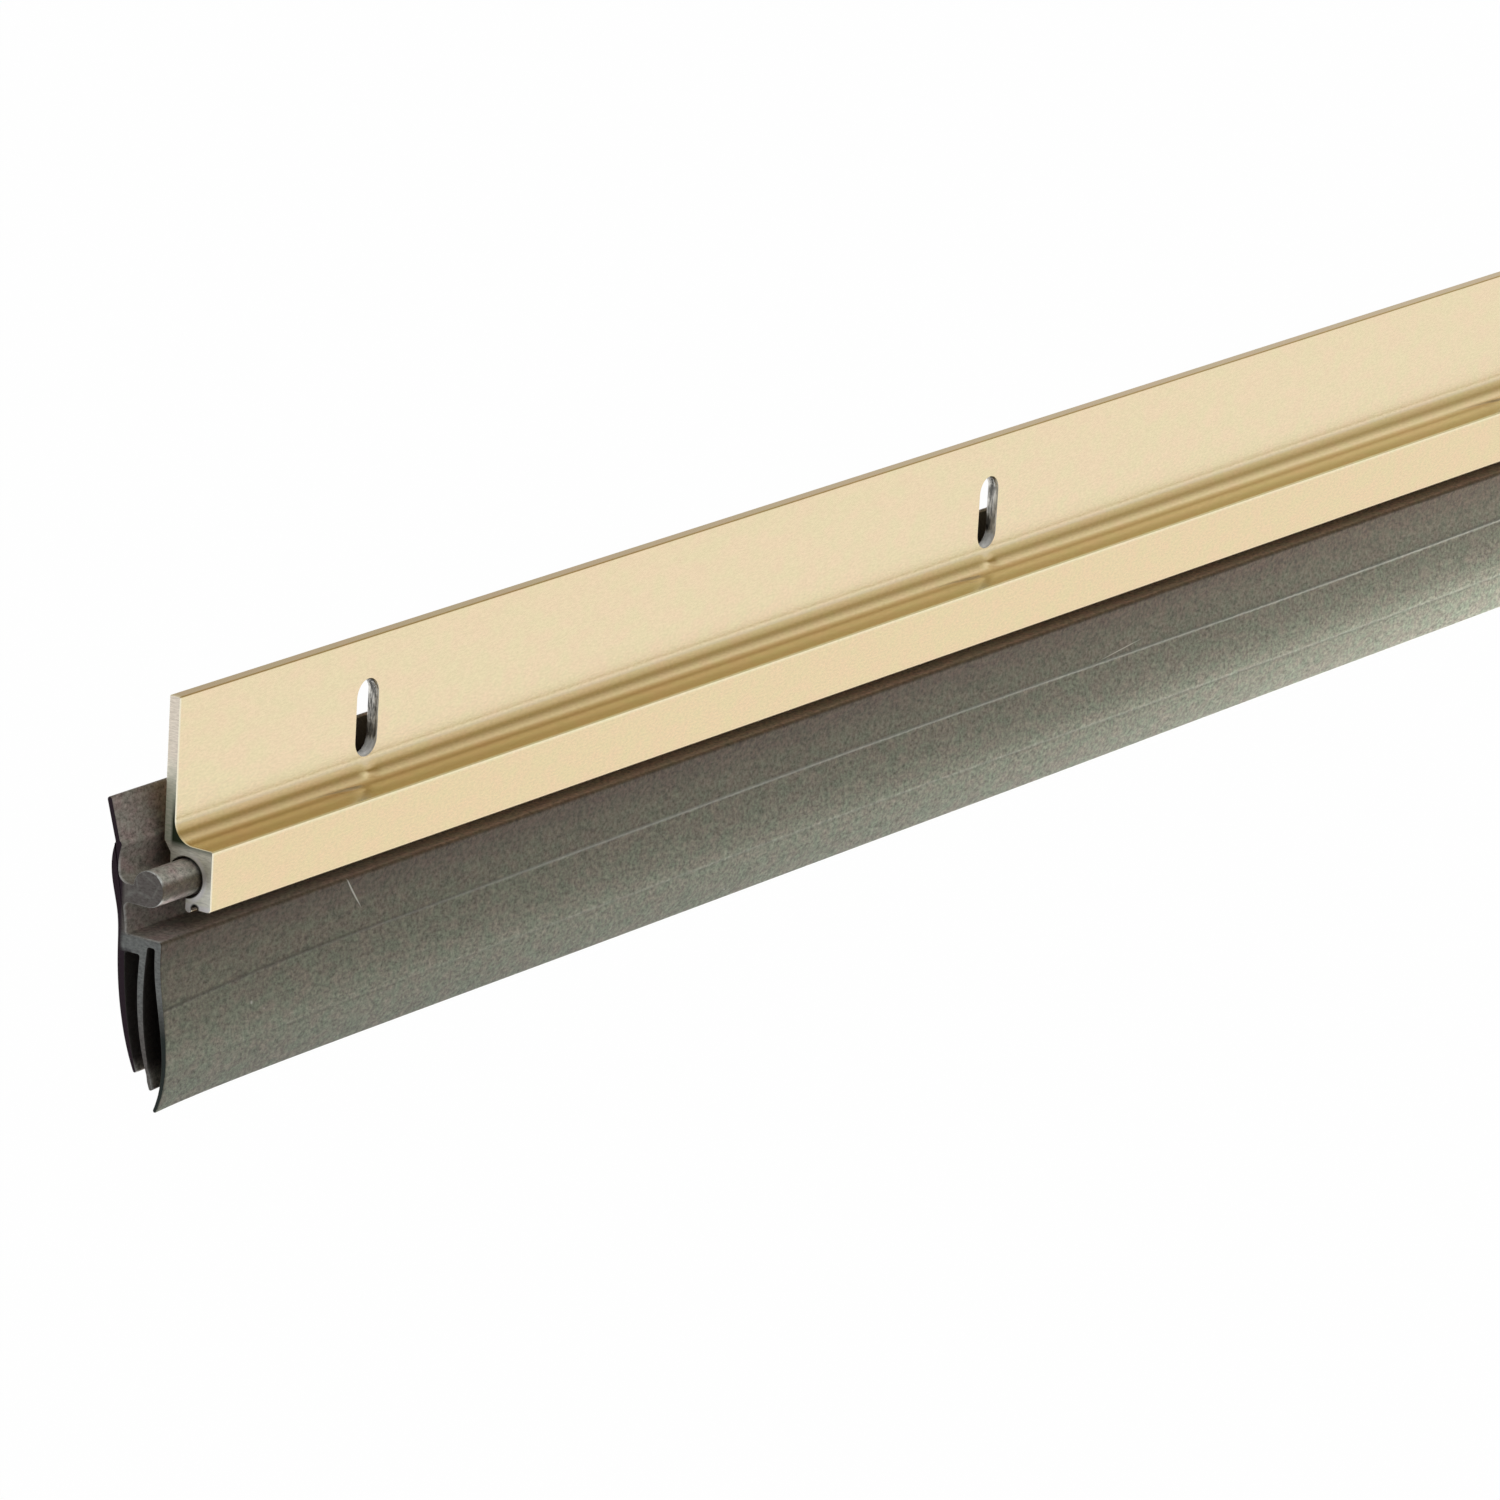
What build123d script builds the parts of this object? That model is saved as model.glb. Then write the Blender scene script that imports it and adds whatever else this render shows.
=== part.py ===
"""Vinyl door sweep: an aluminium carrier strip for the face of a door, and a three-finned seal held in it.

Two extruded pieces make the sweep. The carrier is a flat flange with a row of upright screw slots. Below
it is a deeper head with a keyhole channel that opens towards the door and downwards. The seal is one vinyl
extrusion. Its bead lies in the channel, and its neck comes out of the mouth to a spine. The spine runs up
into a flap behind the flange, and down into the rear fin. A shelf in front of the spine carries the middle
and front fins.

Frame, in millimetres: X runs along the strip, with 0 at mid length. Y = 0 is the flange's back face, which
lies on the door, and -Y is the front. Z = 0 is the height of the screw slots' centres, and +Z is up.
Sections are drawn as (y, z) points.
"""
from build123d import *
from math import sqrt
import os

# Carrier
strip_length = 914.4
flange_thickness = 1.6
flange_height = 18.15
slot_drop = 10.35
cove_radius = 2.8
bore_radius = 2.5
bore_forward = 1.85
head_roof = 1.5
head_front_wall = 1.45
head_floor = 1.3
upper_lip_step = 1.0
upper_lip_drop = 2.7
upper_lip_slope = 1.35
lower_lip_setback = 0.1
lower_nose_radius = 0.55
notch_radius = 0.4
edge_round = 0.2
front_nose_radius = 0.5

# Screw slots
slot_width = 4.4
slot_height = 9.7
slot_pitch = 139.7
least_end_margin = 25.4

# Seal: the bead, neck and spine
seal_overhang = 7.1
bead_clearance = 0.25
bead_set_back = 0.1
neck_thickness = 2.3
upper_neck_fillet = 1.4
lower_neck_fillet = 0.8
spine_thickness = 1.1
kink_set_back = 1.4
kink_rise = 4.6
bulge_set_back = 1.68
bulge_rise = 0.6
waist_set_back = 0.65
foot_set_back = 0.4

# Seal: the flap and shelf
flap_thickness = 0.75
flap_rise = 5.3
flap_lean = 1.55
shelf_gap = 2.4
shelf_rear_thickness = 2.2
shelf_front_thickness = 1.0
root_fillet = 0.3

# Seal: the fins; each path is (how far down, how far back) from the root, both as shares of the fin's drop
front_fin_set_back = 2.2
front_fin_thickness = 0.95
front_fin_drop = 20.8
front_fin_path = [(0.5, -0.054), (0.8, -0.073), (1, -0.022)]
inner_bead_radius = 0.45
inner_bead_drop = 1.9
middle_fin_set_back = 4.25
middle_fin_thickness = 1.05
middle_fin_drop = 17.65
middle_fin_path = [(0.39, 0.023), (0.69, -0.009), (1, -0.097)]
rear_fin_drop = 14.7
rear_fin_path = [(0.64, -0.074), (1, -0.187)]
fin_tip_thickness = 0.5

# Carrier places, each worked out from the sizes above
flange_top = slot_drop
flange_front = -flange_thickness
head_top = flange_top - flange_height
bore_y = flange_front - bore_forward
bore_z = head_top - head_roof - bore_radius
head_front = bore_y - bore_radius - head_front_wall
head_bottom = bore_z - bore_radius - head_floor
upper_lip_bottom = head_top - upper_lip_drop
lower_lip_end = bore_y - lower_lip_setback
notch_y = lower_lip_end - 2 * lower_nose_radius - notch_radius

# Seal places
bead_radius = bore_radius - bead_clearance
bead_y = bore_y + bead_set_back
neck_bottom = bore_z - bead_radius
neck_top = neck_bottom + neck_thickness
kink_z = bore_z + kink_rise
bulge_z = bore_z + bulge_rise
shelf_top = head_bottom - shelf_gap
shelf_rear_bottom = shelf_top - shelf_rear_thickness
shelf_front_bottom = shelf_top - shelf_front_thickness
front_fin_y = head_front + front_fin_set_back
middle_fin_y = head_front + middle_fin_set_back

# Slot places: as many as fit on each side of the middle one
slots_each_side = int((strip_length / 2 - least_end_margin) / slot_pitch)
slot_places = [n * slot_pitch for n in range(-slots_each_side, slots_each_side + 1)]


def extrude_along_x(section, length):
    """A section drawn as (y, z), stood upright at the left end and extruded along X, with X = 0 midway."""
    return extrude(Plane.YZ.offset(-length / 2) * section, amount=length)


def carrier_section():
    """The carrier's outline with its corners rounded, a round nose on the lower lip, the bore and a notch."""
    corners = [
        ((0, flange_top), edge_round),
        ((flange_front, flange_top), edge_round),
        ((flange_front, head_top), cove_radius),
        ((head_front, head_top), edge_round),
        ((head_front, head_bottom), front_nose_radius),
        ((lower_lip_end, head_bottom), edge_round),
        ((lower_lip_end, upper_lip_bottom), edge_round),
        ((-upper_lip_step, upper_lip_bottom), edge_round),
        ((-upper_lip_step, head_top - upper_lip_slope), edge_round),
        ((0, head_top), edge_round),
    ]
    points = [point for point, _ in corners]
    radii = [radius for _, radius in corners]
    outline = make_face(FilletPolyline(points, radius=radii, close=True))
    nose = Pos(lower_lip_end - lower_nose_radius, head_bottom) * Circle(lower_nose_radius)
    bore = Pos(bore_y, bore_z) * Circle(bore_radius)
    notch = Pos(notch_y, head_bottom) * Circle(notch_radius)
    return outline + nose - bore - notch


def make_carrier():
    """The carrier: its section extruded, with the upright screw slots punched through the flange."""
    strip = extrude_along_x(carrier_section(), strip_length)
    slot = Plane.XZ * SlotOverall(slot_height, slot_width, rotation=90)
    punch = extrude(slot, amount=-head_front, both=True)
    return strip - [Pos(x, 0, 0) * punch for x in slot_places]


def sheet(stations):
    """The section of a curved sheet that ends in a round tip.

    Each station is (y, z, thickness). The middle line is a spline through the stations. Each side is a spline
    through the points half a thickness away from them, square to the middle line.
    """
    middle = Spline(*[(y, z) for y, z, _ in stations])
    left, right = [], []
    for y, z, thickness in stations:
        along = middle.tangent_at(Vector(y, z))
        across = Vector(-along.Y, along.X) * (thickness / 2)
        left.append(Vector(y, z) + across)
        right.append(Vector(y, z) - across)
    tip = (middle @ 1) + (middle % 1) * (stations[-1][2] / 2)
    round_tip = ThreePointArc(left[-1], tip, right[-1])
    return make_face([Spline(*left), round_tip, Spline(*right), Line(left[0], right[0])])


def fin_stations(root, thickness, drop, path):
    """Stations down a fin from its (y, z) root. It keeps most of its thickness until it nears its tip."""
    root_y, root_z = root
    stations = [(root_y, root_z, thickness)]
    for down, back in path:
        thinned = thickness - (thickness - fin_tip_thickness) * down**2
        stations.append((root_y + back * drop, root_z - down * drop, thinned))
    return stations


def spine_and_rear_fin():
    """The spine from its kink, out behind the neck and in below it, and on down as the rear fin."""
    spine = [
        (kink_set_back, kink_z, spine_thickness),
        (bulge_set_back, bulge_z, spine_thickness),
        (waist_set_back, head_bottom, spine_thickness),
    ]
    foot = (foot_set_back, shelf_rear_bottom)
    return sheet(spine + fin_stations(foot, spine_thickness, rear_fin_drop, rear_fin_path))


def flap():
    """The flap, which leans back from the kink, and a round over the kink itself."""
    top_y = kink_set_back + flap_lean
    top_z = kink_z + flap_rise
    leaf = sheet([(kink_set_back, kink_z, flap_thickness), (top_y, top_z, flap_thickness)])
    return leaf + Pos(kink_set_back, kink_z) * Circle(spine_thickness / 2)


def shelf():
    """The shelf, from the spine forward to the front fin, and thinner in front of the middle fin."""
    return make_face(
        Polyline(
            (foot_set_back, shelf_top),
            (front_fin_y, shelf_top),
            (front_fin_y, shelf_front_bottom),
            (middle_fin_y, shelf_front_bottom),
            (middle_fin_y, shelf_rear_bottom),
            (foot_set_back, shelf_rear_bottom),
            close=True,
        )
    )


def front_fin():
    """The front fin: a round shoulder, a leaf that bulges forward and hooks back, and a bead on its inside."""
    root = (front_fin_y, shelf_top - front_fin_thickness / 2)
    leaf = sheet(fin_stations(root, front_fin_thickness, front_fin_drop, front_fin_path))
    shoulder = Pos(*root) * Circle(front_fin_thickness / 2)
    inner_place = Pos(front_fin_y + front_fin_thickness / 2, shelf_top - inner_bead_drop)
    return leaf + [shoulder, inner_place * Circle(inner_bead_radius)]


def middle_fin():
    """The middle fin, which starts within the shelf, bows back and then sweeps forward."""
    root = (middle_fin_y, (shelf_top + shelf_front_bottom) / 2)
    return sheet(fin_stations(root, middle_fin_thickness, middle_fin_drop, middle_fin_path))


def seal_section():
    """The seal's outline: bead, neck, spine, flap, shelf and fins joined."""
    bead = Pos(bead_y, bore_z) * Circle(bead_radius)
    neck_length = (bulge_set_back + waist_set_back) / 2 - bead_y
    neck_place = Pos(bead_y + neck_length / 2, neck_bottom + neck_thickness / 2)
    neck = neck_place * Rectangle(neck_length, neck_thickness)
    return bead + [neck, spine_and_rear_fin(), flap(), shelf(), front_fin(), middle_fin()]


def edges_near(solid, places):
    """For each (y, z) place, the edge along X that runs nearest to it."""
    along_x = solid.edges().filter_by(Axis.X)
    return [min(along_x, key=lambda edge: (edge.center() - Vector(0, y, z)).length) for y, z in places]


def make_seal():
    """The seal: its section extruded past both ends of the carrier, with its inner corners rounded."""
    solid = extrude_along_x(seal_section(), strip_length + 2 * seal_overhang)
    over_neck = [(bulge_set_back - spine_thickness / 2, neck_top)]
    under_neck = [(waist_set_back - spine_thickness / 2, neck_bottom)]
    spine_front = foot_set_back - spine_thickness / 2
    roots = [
        (bead_y + sqrt(bead_radius**2 - (neck_top - bore_z) ** 2), neck_top),
        (spine_front, shelf_top),
        (spine_front, shelf_rear_bottom),
        (middle_fin_y + middle_fin_thickness / 2, shelf_rear_bottom),
        (middle_fin_y - middle_fin_thickness / 2, shelf_front_bottom),
        (front_fin_y + front_fin_thickness / 2, shelf_front_bottom),
    ]
    solid = fillet(edges_near(solid, over_neck), upper_neck_fillet)
    solid = fillet(edges_near(solid, under_neck), lower_neck_fillet)
    return fillet(edges_near(solid, roots), root_fillet)


if __name__ == "__main__":
    os.makedirs("parts", exist_ok=True)
    export_step(make_carrier(), "parts/carrier.step")
    export_step(make_seal(), "parts/seal.step")
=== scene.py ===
"""Door sweep: a gold anodised aluminium carrier strip that holds a grey vinyl seal with three fins.

The file is laid out as a Blender add-on and is run as a script. Two pieces are made, both of them a section
carried along the strip. Sections are arrays of (y, z) points in millimetres, in the frame of the CAD model:
X along the strip with 0 at mid length, Y = 0 on the flange's back face, Z = 0 at the screw slots' centres.
A section runs down the front, under the piece and up its back, so the air is always on its right.
"""

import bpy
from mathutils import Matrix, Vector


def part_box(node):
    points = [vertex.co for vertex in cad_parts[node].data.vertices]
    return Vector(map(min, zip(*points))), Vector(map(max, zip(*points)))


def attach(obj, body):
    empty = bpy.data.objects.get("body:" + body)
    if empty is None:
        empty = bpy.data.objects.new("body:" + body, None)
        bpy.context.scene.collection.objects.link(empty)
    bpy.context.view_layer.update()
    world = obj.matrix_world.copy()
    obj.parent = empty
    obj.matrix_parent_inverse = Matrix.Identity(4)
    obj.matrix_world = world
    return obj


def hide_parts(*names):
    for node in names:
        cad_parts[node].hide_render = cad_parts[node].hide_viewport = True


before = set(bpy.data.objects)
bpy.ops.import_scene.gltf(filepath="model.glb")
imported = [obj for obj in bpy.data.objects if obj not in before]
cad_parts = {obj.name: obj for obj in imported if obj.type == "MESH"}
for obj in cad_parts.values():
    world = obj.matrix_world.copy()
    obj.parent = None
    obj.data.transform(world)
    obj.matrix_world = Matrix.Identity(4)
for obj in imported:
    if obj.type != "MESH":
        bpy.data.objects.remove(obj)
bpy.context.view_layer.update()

import bpy
import numpy as np
from mathutils import Matrix, Vector

bl_info = {
    "name": "Door Sweep",
    "version": (1, 0, 0),
    "blender": (4, 5, 0),
    "location": "3D View > Sidebar > Door Sweep",
    "description": "Builds an aluminium door sweep with a three-finned vinyl seal, and its stage",
    "category": "Add Mesh",
}

MM = 0.001

# Carrier section, in millimetres
FLANGE_TOP = 10.35
FLANGE_FRONT = -1.6
HEAD_FRONT = -7.4
HEAD_TOP = -7.8
HEAD_BOTTOM = -15.6
COVE_RADIUS = 2.8
FRONT_NOSE_RADIUS = 0.5
EDGE_ROUND = 0.2
BORE_CENTRE = (-3.45, -11.8)
BORE_RADIUS = 2.5
UPPER_LIP_STEP = 1.0
UPPER_LIP_BOTTOM = -10.5
UPPER_LIP_SLOPE = 1.35
LOWER_LIP_END = -3.55
LOWER_NOSE_RADIUS = 0.55
NOTCH_RADIUS = 0.4
NOTCH_CENTRE = (-5.05, -15.45)
LEDGE_BACK = -4.4

# The punch's print in the cove, in millimetres: its centre on the section, and its spread there and along X
DIMPLE_CENTRE = (-2.35, -6.55)
DIMPLE_ROUND = 0.5
DIMPLE_ALONG = 0.8

# A screw slot's wall, in millimetres, from in front of the flange to behind it: (y, how far outside the
# opening). The stadium's round ends are drawn in steps of SLOT_TURN degrees.
SLOT_WALL = [
    (-4.0, 2.2), (-1.65, 0.21), (-1.6, 0.15), (-1.55, 0.1), (-1.45, 0.04), (-1.3, 0.0),
    (-0.14, 0.0), (-0.05, 0.05), (0.0, 0.1), (0.05, 0.15), (2.4, 2.2),
]
SLOT_TURN = 7.5

# Seal section, in millimetres
BEAD_CENTRE = (-3.35, -11.8)
BEAD_RADIUS = 2.25
NECK_TOP = -11.75
NECK_BOTTOM = -14.05
UPPER_NECK_FILLET = 1.4
LOWER_NECK_FILLET = 0.8
ROOT_FILLET = 0.3
KINK = (1.4, -7.2)
SPINE = [(1.4, -7.2, 1.1), (1.68, -11.2, 1.1), (0.65, -15.6, 1.1)]
SPINE_THICKNESS = 1.1
SPINE_FOOT = (0.4, -20.2)
REAR_FIN_DROP = 14.7
REAR_FIN_PATH = [(0.64, -0.074), (1, -0.187)]
FLAP = [(1.4, -7.2, 0.75), (2.95, -1.9, 0.75)]
SHELF_TOP = -18.0
SHELF_FRONT_BOTTOM = -19.0
SHELF_REAR_BOTTOM = -20.2
FRONT_FIN_ROOT = (-5.2, -18.475)
FRONT_FIN_THICKNESS = 0.95
FRONT_FIN_DROP = 20.2
FRONT_FIN_PATH = [(0.5, -0.054), (0.8, -0.073), (1, -0.022)]
INNER_BEAD = (-4.725, -19.9)
INNER_BEAD_RADIUS = 0.45
MIDDLE_FIN_ROOT = (-3.15, -18.5)
MIDDLE_FIN_THICKNESS = 1.05
MIDDLE_FIN_DROP = 17.65
MIDDLE_FIN_PATH = [(0.39, 0.023), (0.69, -0.009), (1, -0.097)]
FIN_TIP_THICKNESS = 0.5

# Bounds on the seal's section, in millimetres: the front fin's face and the whole of that fin lie in front of
# the first two, and the fins' tips lie below the third
FACE_BACK = -5.6
FRONT_FIN_BACK = -4.3
TIPS_BELOW = -30.0

# How deep the edge of each cut is worn, in millimetres
CARRIER_WEAR = 0.08
SEAL_WEAR = 0.06

# How dark the painted shade in the seal's enclosed places gets, and on the flap's front behind the flange,
# how far in from an end that starts, and how far on from there it is full
PAINTED_SHADE_STRENGTH = 0.95
PAINTED_SHADE_FROM = 10
PAINTED_SHADE_REACH = 16

# The front fin's rib, in millimetres: its height, how it wanders, how it sags towards the cut ends, how proud
# and wide it is, and the fainter groove below it
RIB_HEIGHT = -25.0
RIB_SWAY = 0.22
RIB_WAVE = 230.0
RIB_PEAK = 310.0
RIB_SAG = 1.3
RIB_SAG_FROM = 425.0
RIB_SAG_TO = 464.3
RIB_PROUD = 0.07
RIB_WIDTH = 0.16
RIB_TO_GROOVE = 8.15
GROOVE_WIDTH = 0.2

# How the fins' tips wander along the strip, sideways and up: (wave in millimetres, shift, share)
TIP_WAVES = [(41.0, 0.0, 1.0), (17.3, 1.2, 0.6), (71.0, 2.1, 0.4)]
LIFT_WAVE = (90.0, 0.8, 0.5)

# The front fin's painted shade and light on its way down from the shelf: dark and brown under the gold head,
# where its shadow and gold-tinted reflected light fall, lightest low down, where more light comes from below:
# (share of the way, colour)
FACE_PAINTED_SHADING = [
    (0.06, (0.35, 0.315, 0.26)), (0.24, (0.55, 0.6, 0.5)), (0.42, (0.66, 0.74, 0.63)),
    (0.58, (0.74, 0.85, 0.73)), (0.74, (0.84, 0.99, 0.86)), (0.88, (0.67, 0.79, 0.69)),
    (1.0, (0.56, 0.66, 0.58)),
]

# Light scuffs on the front fin: ((x, z), turn in degrees, (reach along, reach across)), in millimetres, and
# the place and reach of all of them along Y
SCUFF_Y = -6.0
SCUFF_DEPTH = 1.2
SCUFFS = [
    ((-425.9, -20.1), 54, (3.2, 0.17)),
    ((-447.3, -29.15), 0, (0.42, 0.38)),
    ((-444.9, -30.4), 0, (0.3, 0.26)),
    ((-412.3, -32.2), 0, (0.34, 0.3)),
    ((-250.0, -24.2), -5, (6.5, 0.06)),
]

# Light cuts on the bead's cut end: ((y, z), turn in degrees, (reach along, reach across)), in millimetres
CUTS = [
    ((-3.3, -10.4), 28, (1.9, 0.22)),
    ((-4.4, -12.0), -62, (1.6, 0.2)),
    ((-2.7, -12.6), 12, (2.0, 0.26)),
    ((-1.6, -11.3), 75, (1.3, 0.24)),
    ((-0.6, -12.9), -35, (1.4, 0.5)),
]

# On the seal's cut end, the line in front of the rear fin: (y, -z) where it starts, and y per z below that
REAR_FROM = (-1.3, 20.0)
REAR_LEAN = 0.1

# Colours of places on the carrier; a tint multiplies the colour that is there
REDDER_GOLD_TINT = (1.0, 0.96, 0.96)
GREENER_GOLD_TINT = (0.96, 0.99, 0.94)
# Painted shade on the head's front face below the ledge
HEAD_PAINTED_SHADE_TINT = (0.98, 0.95, 0.9)
# Painted reflection that makes the ledge paler
LEDGE_PAINTED_REFLECTION_TINT = (1.1, 1.22, 1.3)
# Painted shade on the flange's rounded top edge
TOP_EDGE_PAINTED_SHADE_TINT = (0.64, 0.57, 0.46)
# Pale band at the cut ends: partly real burr, partly a painted highlight
GOLD_BURR_AND_HIGHLIGHT = (0.95, 0.9, 0.72)
# Painted shade inside the bore and the notch
CHANNEL_PAINTED_SHADE = (0.06, 0.045, 0.03)
SAWN_FLANGE_TINT = (1.0, 0.93, 0.86)
SAWN_HEAD_TINT = (1.12, 1.16, 1.12)
SAWN_GREENS = ((0.58, 0.72, 0.56), (0.94, 1.0, 0.88))
FOOT_DARK = (0.05, 0.07, 0.04)
# Painted highlight along the bore's rim and the noses
RIM_PAINTED_HIGHLIGHT = (0.98, 0.98, 0.98)
# Painted shadow round the bore's edge and in the notch
BORE_PAINTED_SHADOW = (0.02, 0.02, 0.018)
# Painted highlight on the slot's foot
SLOT_FOOT_PAINTED_HIGHLIGHT = (0.92, 0.92, 0.9)
SLOT_RIM = (0.4, 0.38, 0.32)

# Colours of places on the seal
REDDER_VINYL_TINT = (1.07, 0.97, 0.99)
GREENER_VINYL_TINT = (0.94, 1.03, 0.98)
BEHIND_FACE_TINT = (1.16, 1.16, 1.18)
# Painted light reflected from the gold onto the shaded shelf top
SHELF_PAINTED_GOLD_LIGHT = (1.45, 1.28, 1.05)
# Painted highlight along the rib and groove
RIB_PAINTED_HIGHLIGHT = (0.34, 0.35, 0.31)
SCUFF_PALE = (0.56, 0.55, 0.48)
# Pale burr at the cut ends, partly a painted highlight of the cut edge
BURR_AND_HIGHLIGHT_PALE = (0.6, 0.6, 0.57)
# Painted light that brightens the bead
BEAD_PAINTED_LIGHT_TINT = (1.5, 1.56, 1.58)
# Painted shade between the fins and on the flap's front behind the flange
PAINTED_SHADE_DARK = (0.012, 0.01, 0.009)
CUT_FRONT_GREYS = ((0.26, 0.27, 0.27), (0.55, 0.58, 0.56))
CUT_LEAF_DARK = (0.04, 0.055, 0.05)
CUT_PALE = (0.5, 0.49, 0.46)
CUT_REAR_DARK = (0.03, 0.014, 0.026)

# The studio that the metal mirrors: (degrees above the horizon in front of the strip, colour)
SKY_LEFT = [
    (-20, (0.97, 0.97, 0.97)), (-8, (0.75, 0.7, 0.6)), (16, (0.7, 0.62, 0.5)), (25, (0.6, 0.52, 0.38)),
    (36, (0.35, 0.27, 0.13)), (52, (0.25, 0.18, 0.07)), (80, (0.58, 0.5, 0.36)), (95, (0.65, 0.58, 0.44)),
    (120, (0.56, 0.51, 0.42)), (160, (0.7, 0.68, 0.62)),
]
SKY_RIGHT = [
    (-22, (0.97, 0.97, 0.97)), (-10, (0.76, 0.73, 0.58)), (14, (0.57, 0.52, 0.36)), (27, (0.52, 0.46, 0.31)),
    (40, (0.41, 0.35, 0.2)), (54, (0.53, 0.48, 0.34)), (68, (0.76, 0.72, 0.58)), (88, (0.93, 0.9, 0.78)),
    (120, (0.9, 0.88, 0.76)), (160, (0.85, 0.83, 0.78)),
]
# The bounds in X between which the one sky turns into the other, for a direction one unit long
SKY_CHANGE = (0.765, 0.84)

# Matte light: where most of it comes from, and how weak and how strong it gets, as shares of ambient
MATTE_LIGHT = (0.42, -0.89, 0.15)
MATTE_RANGE = (0.35, 1.6)

# The floor: half its side in metres, and how much dimmer the metal mirrors it, and between which |y|
FLOOR_HALF = 12.0
FLOOR_DIM = 0.26
FLOOR_DIM_FROM = 0.75
FLOOR_DIM_TO = 1.9

# The lamps: (place, target, size), in metres
KEY_LAMP = ((0.5, -1.3, 1.7), (-0.1, 0.0, 0.0), 1.6)
FILL_LAMP = ((0.02, -0.07, -0.27), (-0.2, 0.0, -0.03), 0.12)

# The camera: its place in metres, and the directions of its right and of its view
CAMERA_PLACE = (-1.343503, -0.672724, 0.331186)
CAMERA_RIGHT = (0.566189, -0.822368, 0.056044)
CAMERA_FORWARD = (0.799585, 0.531442, -0.2797)

# How finely a section and its curves are drawn: lengths in millimetres, turns in degrees
FINE_STEP = 0.08
LONGEST_STEP = 0.8
WIDEST_TURN = 9.0
STRAIGHT_TURN = 0.02
SUPPORT_GAP = 0.12
RIB_STEP = 0.1
SAME_PLACE = 1e-4
SHARP_ANGLE = np.radians(30)

# Stations along the strip, in millimetres: beside each slot's middle, and in from both ends of the seal
BESIDE_SLOT = np.concatenate([np.arange(-3.0, 3.1, 0.25), [-9.0, -5.0, 5.0, 9.0]])
NEAR_END = np.array([1, 2, 4, 6, 9, 12, 16, 20, 26, 32])


class CarrierSettings(bpy.types.PropertyGroup):
    """Sizes and colours of the aluminium carrier strip."""

    slot_pitch: bpy.props.FloatProperty(
        name="Slot pitch", description="Distance from slot to slot", default=0.1397, unit="LENGTH"
    )
    slot_width: bpy.props.FloatProperty(
        name="Slot width", description="Width of a screw slot", default=0.0042, unit="LENGTH"
    )
    slot_height: bpy.props.FloatProperty(
        name="Slot height", description="Height of a screw slot", default=0.0097, unit="LENGTH"
    )
    slots_each_side: bpy.props.IntProperty(
        name="Slots each side", description="Screw slots on each side of the middle one", default=3, min=0
    )
    dimple_depth: bpy.props.FloatProperty(
        name="Dimple depth", description="Depth of the punch's print", default=0.0002, unit="LENGTH"
    )
    gold: bpy.props.FloatVectorProperty(
        name="Gold", description="Colour of the anodising", default=(0.86, 0.72, 0.485), subtype="COLOR"
    )
    gold_roughness: bpy.props.FloatProperty(
        name="Gold roughness", description="Roughness of the anodising", default=0.2, subtype="FACTOR"
    )
    bare: bpy.props.FloatVectorProperty(
        name="Bare metal", description="Colour of cut aluminium", default=(0.78, 0.76, 0.71), subtype="COLOR"
    )


class SealSettings(bpy.types.PropertyGroup):
    """Sizes and colours of the vinyl seal."""

    end_droop: bpy.props.FloatProperty(
        name="End droop", description="How far the front fin droops at an end", default=0.0006, unit="LENGTH"
    )
    droop_reach: bpy.props.FloatProperty(
        name="Droop reach", description="How quickly the droop fades", default=0.009, unit="LENGTH"
    )
    waviness: bpy.props.FloatProperty(
        name="Waviness", description="How far the fins' tips wander", default=0.0001, unit="LENGTH"
    )
    vinyl: bpy.props.FloatVectorProperty(
        name="Vinyl", description="Colour of the vinyl", default=(0.25, 0.215, 0.19), subtype="COLOR"
    )
    cut_vinyl: bpy.props.FloatVectorProperty(
        name="Cut vinyl", description="Colour of the cut ends", default=(0.28, 0.255, 0.24), subtype="COLOR"
    )
    vinyl_roughness: bpy.props.FloatProperty(
        name="Vinyl roughness", description="Roughness of the vinyl", default=0.55, subtype="FACTOR"
    )


class StageSettings(bpy.types.PropertyGroup):
    """The floor, lamps, world and camera."""

    floor_depth: bpy.props.FloatProperty(
        name="Floor depth", description="How far the floor lies below the slots", default=0.3, unit="LENGTH"
    )
    key_power: bpy.props.FloatProperty(
        name="Key power", description="Power of the soft lamp overhead, in watts", default=12.5
    )
    fill_power: bpy.props.FloatProperty(
        name="Fill power", description="Power of the soft lamp low on the right, in watts", default=5.0
    )
    ambient: bpy.props.FloatProperty(
        name="Ambient", description="Strength of the world on matte surfaces", default=0.37
    )
    pale: bpy.props.FloatVectorProperty(
        name="Pale floor", description="Colour of the floor", default=(0.9, 0.9, 0.9), subtype="COLOR"
    )
    lens: bpy.props.FloatProperty(
        name="Lens", description="Focal length in millimetres", default=231.9
    )


def arc(centre, radius, start, stop, most=WIDEST_TURN):
    """Points on a circle: centre + radius (cos a, sin a), for a from start to stop in degrees."""
    count = max(2, int(np.ceil(abs(stop - start) / most)) + 1)
    angle = np.radians(np.linspace(start, stop, count))
    return np.array(centre) + radius * np.stack([np.cos(angle), np.sin(angle)], axis=1)


def short_way(centre, radius, first, last, most):
    """The arc that goes the short way round a centre, between the directions of two offsets from it."""
    start = np.degrees(np.arctan2(first[1], first[0]))
    turn = np.degrees(np.arctan2(last[1], last[0])) - start
    turn = (turn + 180) % 360 - 180
    return arc(centre, radius, start, start + turn, most)


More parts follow.
